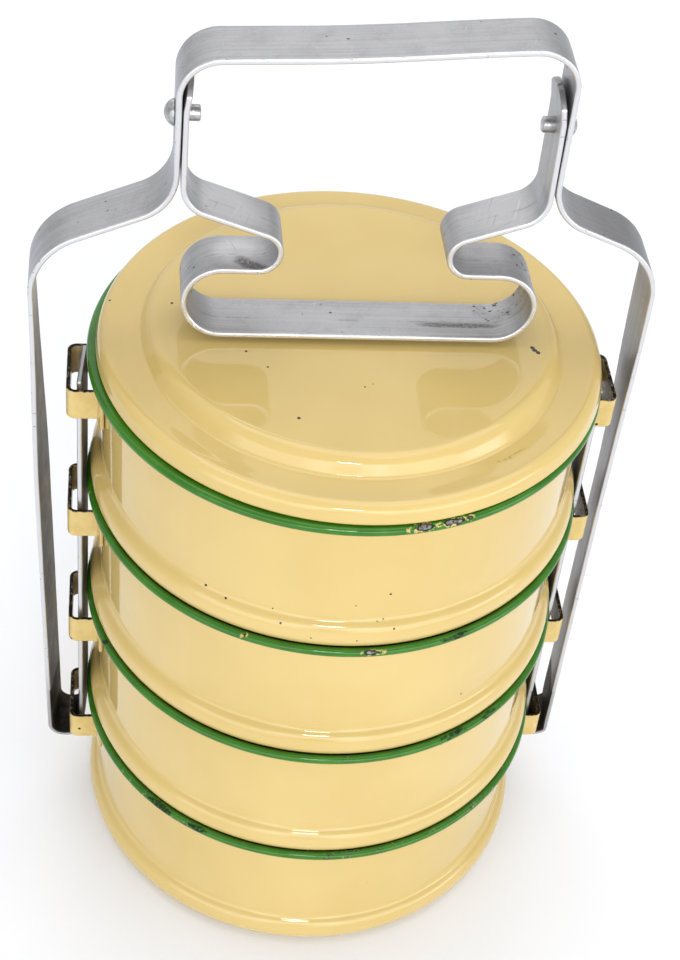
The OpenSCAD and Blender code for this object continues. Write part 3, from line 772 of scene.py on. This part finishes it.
def leg_turn(p):
    """The legs, hairpins and posts are turned a little about the vertical, as bent
    by hand; a leg's push keeps its turned edge inside the carrier's widest point,
    and the posts turn only as far as the lugs' slots allow."""
    x, z, h = p
    if z > 232 or abs(x) < 81:
        return 0.0, 0.0
    rho = (4.6 + 3.7 * smooth(abs(x), 82.5, 89.5)) * smooth(z, 232, 150 if abs(x) > 84 else 220)
    reach = abs(x) + strip_w / 2 * math.sin(rad(rho)) + strip_t / 2
    push = min(0.0, (97.55 if x < 0 else 93.30) - reach)
    return -rho, math.copysign(push, -x) if push else 0.0


# the handle sags a little between its corners
path = [(x, z - 0.8 * math.cos(math.pi * min(1.0, abs(x + 6) / 46) / 2) ** 2, h) if z > top_z + handle_z - 9 and abs(x) < 42 else (x, z, h)
        for x, z, h in path]
v, f, at = ribbon(path, strip_t, strip_w, 0.55, wave=0.10, seed=1.0, turn=leg_turn)
# the darker patch at (80, 0, 250) is painted shade on the carrier's right shoulder
carrier = make("carrier_strip", v, f, at, "carrier", ["carrier_strap"],
               aluminium("strip_carrier", soot=True, tone=0.95, shade_patches=[(80.0, 0.0, 250.0, 22.0)], pits=[(-88.0, -8.6, 246.0, 3.4), (-80.0, -8.8, 250.5, 3.0), (-84.0, -8.8, 248.5, 2.4)]))
for s in (-1, 1):
    drill(carrier, s * neck_x, pin_r + 0.02)
weighted(carrier)

lp_, lt = clamp_side(bar_left)
rp_, rt = clamp_side(bar_right)
path = other(lt) + other(lp_) + rp_ + rt


def tab_width(z):
    """The tab's end is a flat arc of radius tab_r."""
    d = z - (pin_h + tab_top - tab_r)
    return min(strip_w, 2 * math.sqrt(max(0.04, tab_r ** 2 - min(d, tab_r) ** 2))) if d > 0 else strip_w


v, f, at = ribbon(path, strip_t, strip_w, 0.55, widths=[tab_width(p[1]) for p in path], wave=0.08, seed=2.7, tilt=clamp_tilt)
# the darker patch at (44, -1, 262) is painted shade on the clamp's right arm
clamp = make("clamp_strip", v, f, at, "clamp", ["clamp_strap"],
             aluminium("strip_clamp", dark_line=True, tone=0.95,
                       pits=[(45.0, 3.0, 223.3, 7.0), (51.0, 4.0, 228.0, 5.0), (50.0, 1.0, 241.5, 5.5), (53.5, 0.0, 236.0, 5.0), (-50.0, 3.0, 232.0, 5.0)],
                       smears=[((33.0, -5.8, 223.0), (1.0, 0.0, 0.0), 15.0, 1.6), ((-32.0, -8.5, 246.2), (0.85, -0.53, 0.0), 7.0, 2.6)],
                       shade_patches=[(44.0, -1.0, 262.0, 13.0)], shade_strength=0.25, rubs=[(-41.0, -1.0, 262.0, 13.0), (44.0, -1.0, 262.0, 13.0), (-36.0, -2.0, 246.2, 8.0)]))
for s in (-1, 1):
    drill(clamp, s * clamp_x, pin_r + pin_clear)
weighted(clamp)

# ---------------------------------------------------------------- rivets
head_x = neck_x + strip_t / 2 + 0.05
shank = head_x - (clamp_x - strip_t / 2) + stub
dome_r = (head_r ** 2 + head_h ** 2) / (2 * head_h)
rp = [(0, -shank), (1.2, -shank)] + arc((pin_r - 0.6, -shank + 0.6), 0.6, -90, 0, 15) + [(pin_r, -1.0), (pin_r, 0.0), (pin_r + 0.2, 0.0), (head_r - 0.3, 0.0)]
dome = arc((0, head_h - dome_r), dome_r, math.degrees(math.asin((dome_r - head_h) / dome_r)), 90, 5)
rp += [(head_r - 0.08, 0.06)] + [(q[0] * 0.995, q[1] * 0.985 + 0.04) for q in dome[1:]]
rp[-1] = (0.0, rp[-1][1])
for s, nm in ((-1, "left"), (1, "right")):
    v, f, _ = lathe(rp, 48)
    v = [(s * (head_x + z), y, pin_h + x) for x, y, z in v]
    ob = make("rivet_%s_dome" % nm, v, f, {}, "carrier", ["rivet_%s" % nm], rivet_metal("rivet_metal_" + nm))
    weighted(ob)

# ---------------------------------------------------------------- floor, light, camera
me = bpy.data.meshes.new("floor")
n, half_w = 24, 3.0
vs = [(-half_w + 2 * half_w * i / n, -half_w + 2 * half_w * j / n, -0.0002) for j in range(n + 1) for i in range(n + 1)]
me.from_pydata(vs, [], [(j * (n + 1) + i, j * (n + 1) + i + 1, (j + 1) * (n + 1) + i + 1, (j + 1) * (n + 1) + i) for j in range(n) for i in range(n)])
floor = bpy.data.objects.new("floor", me)
bpy.context.scene.collection.objects.link(floor)
fm = Mat("floor_paper")
fn = fm.noise(fm.p, 0.4, 3.0)
me.materials.append(fm.surf(fm.mix(fn, (0.842, 0.860, 0.912), (0.856, 0.873, 0.924)), fm.mr(fn, 0.3, 0.7, 0.75, 0.85), spec=0.1))

sc = bpy.context.scene
sc.view_settings.view_transform = "Standard"
sc.view_settings.look = "None"
sc.view_settings.exposure = 0.0
world = bpy.data.worlds.new("studio")
sc.world = world
world.use_nodes = True
wt = world.node_tree
wt.nodes.clear()
wo = wt.nodes.new("ShaderNodeOutputWorld")
bg = wt.nodes.new("ShaderNodeBackground")
tc = wt.nodes.new("ShaderNodeTexCoord")
sx = wt.nodes.new("ShaderNodeSeparateXYZ")
mrn = wt.nodes.new("ShaderNodeMapRange")
wt.links.new(tc.outputs["Generated"], sx.inputs[0])
wt.links.new(sx.outputs["Z"], mrn.inputs["Value"])
for k, val in (("From Min", -0.1), ("From Max", 0.9), ("To Min", 0.553), ("To Max", 0.70)):
    mrn.inputs[k].default_value = val
# a brighter part of the room behind, up and to the left
dn = wt.nodes.new("ShaderNodeVectorMath")
dn.operation = "DOT_PRODUCT"
wt.links.new(tc.outputs["Generated"], dn.inputs[0])
dn.inputs[1].default_value = Vector((-0.22, 0.70, 0.68)).normalized()
gl = wt.nodes.new("ShaderNodeMapRange")
gl.interpolation_type = "SMOOTHSTEP"
wt.links.new(dn.outputs["Value"], gl.inputs["Value"])
for k, val in (("From Min", 0.60), ("From Max", 0.97), ("To Min", 0.0), ("To Max", 0.54)):
    gl.inputs[k].default_value = val
psi = rad(8.6)


def wmath(op, a, b):
    n = wt.nodes.new("ShaderNodeMath")
    n.operation = op
    wt.links.new(a, n.inputs[0])
    wt.links.new(b, n.inputs[1])
    return n.outputs[0]


def wdot(v):
    n = wt.nodes.new("ShaderNodeVectorMath")
    n.operation = "DOT_PRODUCT"
    wt.links.new(tc.outputs["Generated"], n.inputs[0])
    n.inputs[1].default_value = v
    return n.outputs["Value"]


def wstep(v, a, b, hi=1.0):
    n = wt.nodes.new("ShaderNodeMapRange")
    n.interpolation_type = "SMOOTHSTEP"
    wt.links.new(v, n.inputs["Value"])
    for k, val in (("From Min", a), ("From Max", b), ("To Min", 0.0), ("To Max", hi)):
        n.inputs[k].default_value = val
    return n.outputs["Result"]


# soft windows in front: low to the left and to the right of the camera, higher in the middle
azim = wmath("ARCTAN2", wdot((math.cos(psi), -math.sin(psi), 0.0)), wdot((-math.sin(psi), -math.cos(psi), 0.0)))
light = wmath("ADD", mrn.outputs["Result"], gl.outputs["Result"])
for a0, a1, e0, e1, amp in ((-52, -3, -3, 25, 2.0), (15, 58, -3, 27, 2.6), (-12, 26, 15, 32, 2.5), (60, 86, -2, 14, 4.0)):
    w = wmath("MULTIPLY", wstep(azim, rad(a0 - 8), rad(a0 + 8)), wstep(azim, rad(a1 + 8), rad(a1 - 8)))
    h = wmath("MULTIPLY", wstep(sx.outputs["Z"], math.sin(rad(e0 - 6)), math.sin(rad(e0 + 6))), wstep(sx.outputs["Z"], math.sin(rad(e1 + 7)), math.sin(rad(e1 - 7)), amp))
    light = wmath("ADD", light, wmath("MULTIPLY", w, h))
wt.links.new(light, bg.inputs["Strength"])
bg.inputs["Color"].default_value = (1.0, 1.0, 1.0, 1.0)
wt.links.new(bg.outputs[0], wo.inputs[0])


def area(name, loc, target, size, power, color=(1, 1, 1)):
    li = bpy.data.lights.new(name, "AREA")
    li.shape, li.size, li.size_y, li.energy, li.color = "RECTANGLE", size[0], size[1], power, color
    ob = bpy.data.objects.new(name, li)
    sc.collection.objects.link(ob)
    ob.location = loc
    ob.rotation_euler = (Vector(target) - Vector(loc)).to_track_quat("-Z", "Y").to_euler()
    ob.visible_camera = False
    return ob


yaw, pit, rol = -0.00609 - psi, -0.74895, 0.11903
M = Matrix.Rotation(yaw, 3, "Z") @ Matrix.Rotation(pit, 3, "X")
right, fwd, up = M @ Vector((1, 0, 0)), M @ Vector((0, 1, 0)), M @ Vector((0, 0, 1))
r2 = right * math.cos(rol) + up * math.sin(rol)
u2 = -right * math.sin(rol) + up * math.cos(rol)
cam_pos = Vector((-473.48 * math.sin(psi), -473.48 * math.cos(psi), 387.26 + top_z)) * MM
cam = bpy.data.cameras.new("camera")
cam.lens, cam.sensor_width, cam.sensor_fit = 73.09, 36.0, "AUTO"
cam.clip_start, cam.clip_end = 0.01, 50.0
cam_ob = bpy.data.objects.new("camera", cam)
sc.collection.objects.link(cam_ob)
cam_ob.matrix_world = Matrix(((r2.x, u2.x, -fwd.x, cam_pos.x), (r2.y, u2.y, -fwd.y, cam_pos.y),
                              (r2.z, u2.z, -fwd.z, cam_pos.z), (0, 0, 0, 1)))
sc.camera = cam_ob

front = Vector((math.sin(yaw), -math.cos(yaw), 0)) * -1.0   # the way the camera looks, level
side_v = Vector((math.cos(yaw), math.sin(yaw), 0))
toward = Vector((-math.sin(psi), -math.cos(psi), 0))        # from the object to the camera, level
area("top_soft", toward * -0.3 + side_v * 0.15 + Vector((0, 0, 1.75)), (0, 0, 0.15), (1.6, 1.4), 9.5)


def near_camera(deg, dist, z):
    a = -psi + rad(deg)
    return Vector((dist * math.sin(a), -dist * math.cos(a), z))


area("spark_a", near_camera(7.0, 1.0, 0.84), (0, 0, 0.14), (0.19, 0.085), 1.8)
area("spark_b", near_camera(1.0, 1.0, 0.86), (0, 0, 0.14), (0.03, 0.03), 0.17)
